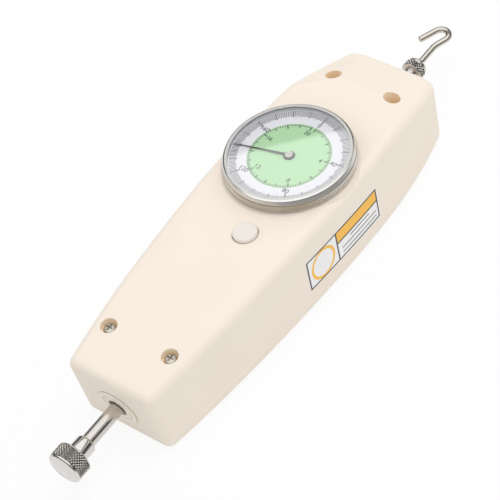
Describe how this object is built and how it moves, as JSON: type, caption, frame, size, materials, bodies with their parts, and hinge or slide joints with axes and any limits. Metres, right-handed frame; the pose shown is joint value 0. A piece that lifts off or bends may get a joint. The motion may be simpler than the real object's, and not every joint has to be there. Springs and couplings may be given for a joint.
{
  "type": "push-pull force gauge",
  "caption": "Hand-held push-pull force gauge: barrel-shaped plastic case, round turning dial with geared pointer, sprung shaft with a knurled push head at one end and a wire hook at the other",
  "frame": {"origin": "centre of the four-hole stand pattern on the rear face, straight behind the dial axis", "axes": "+Z out through the dial, +Y along the shaft toward the hook, +X to the right of someone facing the dial with the hook up"},
  "size_m": [0.0596, 0.2635, 0.0459],
  "materials": {
    "ivory_plastic": "fine matte moulded",
    "ivory_cover": "fine matte moulded",
    "ivory_ring": "smooth moulded",
    "brass": "machined",
    "bronze": "sintered",
    "steel_screws": "plated",
    "chassis_aluminium": "milled",
    "spring_steel": "drawn wire",
    "ground_steel": "ground",
    "plated_steel": "bright nickel",
    "sheet_steel": "pressed sheet",
    "dial_paint": "printed satin",
    "bezel_metal": "turned and plated",
    "spacer_plastic": "matte",
    "lens_clear": "clear polished",
    "pointer_black": "matte black",
    "cap_silver": "turned",
    "button_plastic": "semi-gloss"
  },
  "bodies": {
    "housing": {"front_case": "ivory_plastic", "rear_cover": "ivory_cover", "stand_inserts": "brass", "cover_screws": "steel_screws", "long_case_screws": "steel_screws", "short_case_screws": "steel_screws", "knob_end_ring": "ivory_ring", "hook_end_ring": "ivory_ring", "chassis": "chassis_aluminium", "knob_end_bush": "bronze", "hook_end_bush": "bronze", "push_spring": "spring_steel", "pull_spring": "spring_steel", "movement_low_plate": "brass", "movement_high_plate": "brass", "low_pillars": "brass", "high_pillars": "brass", "movement_screws": "steel_screws", "hairspring": "spring_steel", "hairspring_stud": "brass", "bezel_snap_ring": "spring_steel", "button_bracket": "sheet_steel", "bracket_screws": "steel_screws", "button_spring": "spring_steel", "lever_pin": "ground_steel"},
    "shaft_line": {"shaft": "ground_steel", "rack": "brass", "rack_screws": "steel_screws", "spring_collar": "plated_steel", "push_head": "plated_steel"},
    "hook_end": {"lock_nut": "plated_steel", "hook": "plated_steel"},
    "bezel_group": {"bezel": "bezel_metal", "dial_plate": "dial_paint", "lens": "lens_clear", "lens_spacer": "spacer_plastic", "dial_retainer": "sheet_steel"},
    "pointer_group": {"pointer_arbor": "ground_steel", "centre_pinion": "brass", "hairspring_collet": "brass", "pointer": "pointer_black", "pointer_cap": "cap_silver"},
    "transfer_group": {"transfer_arbor": "ground_steel", "rack_pinion": "brass", "large_gear": "brass"},
    "button": {"peak_button": "button_plastic"},
    "lever": {"brake_lever": "sheet_steel"}
  },
  "joints": [
    {"name": "shaft_slide", "type": "slide", "parent": "housing", "child": "shaft_line", "axis": [0, 1, 0], "range_m": [-0.01, 0.01], "stiffness_N_per_m": 20000, "deforming": ["push_spring", "pull_spring"]},
    {"name": "hook_turn", "type": "hinge", "parent": "shaft_line", "child": "hook_end", "pos_m": [0, 0.09, 0.0167], "axis": [0, 1, 0], "range_deg": [-180, 180]},
    {"name": "bezel_turn", "type": "hinge", "parent": "housing", "child": "bezel_group", "pos_m": [0, 0, 0.042], "axis": [0, 0, 1], "continuous": true},
    {"name": "transfer_turn", "type": "hinge", "parent": "housing", "child": "transfer_group", "pos_m": [-0.00718, -0.01248, 0.022], "axis": [0, 0, 1], "range_deg": [-181, 181]},
    {"name": "pointer_turn", "type": "hinge", "parent": "housing", "child": "pointer_group", "pos_m": [0, 0, 0.03], "axis": [0, 0, 1], "range_deg": [-361, 361]},
    {"name": "button_press", "type": "slide", "parent": "housing", "child": "button", "axis": [0, 0, -1], "range_m": [0, 0.001], "stiffness_N_per_m": 900, "springref_m": -0.001, "deforming": ["button_spring"]},
    {"name": "lever_tilt", "type": "hinge", "parent": "housing", "child": "lever", "pos_m": [0.0058, -0.0295, 0.0315], "axis": [1, 0, 0], "range_deg": [0, 6.4]}
  ],
  "couplings": [
    {"joint": "transfer_turn", "follows": "shaft_slide", "rad_per_m": 314.16},
    {"joint": "pointer_turn", "follows": "shaft_slide", "rad_per_m": -628.32},
    {"joint": "lever_tilt", "follows": "button_press", "rad_per_m": 109.9}
  ]
}
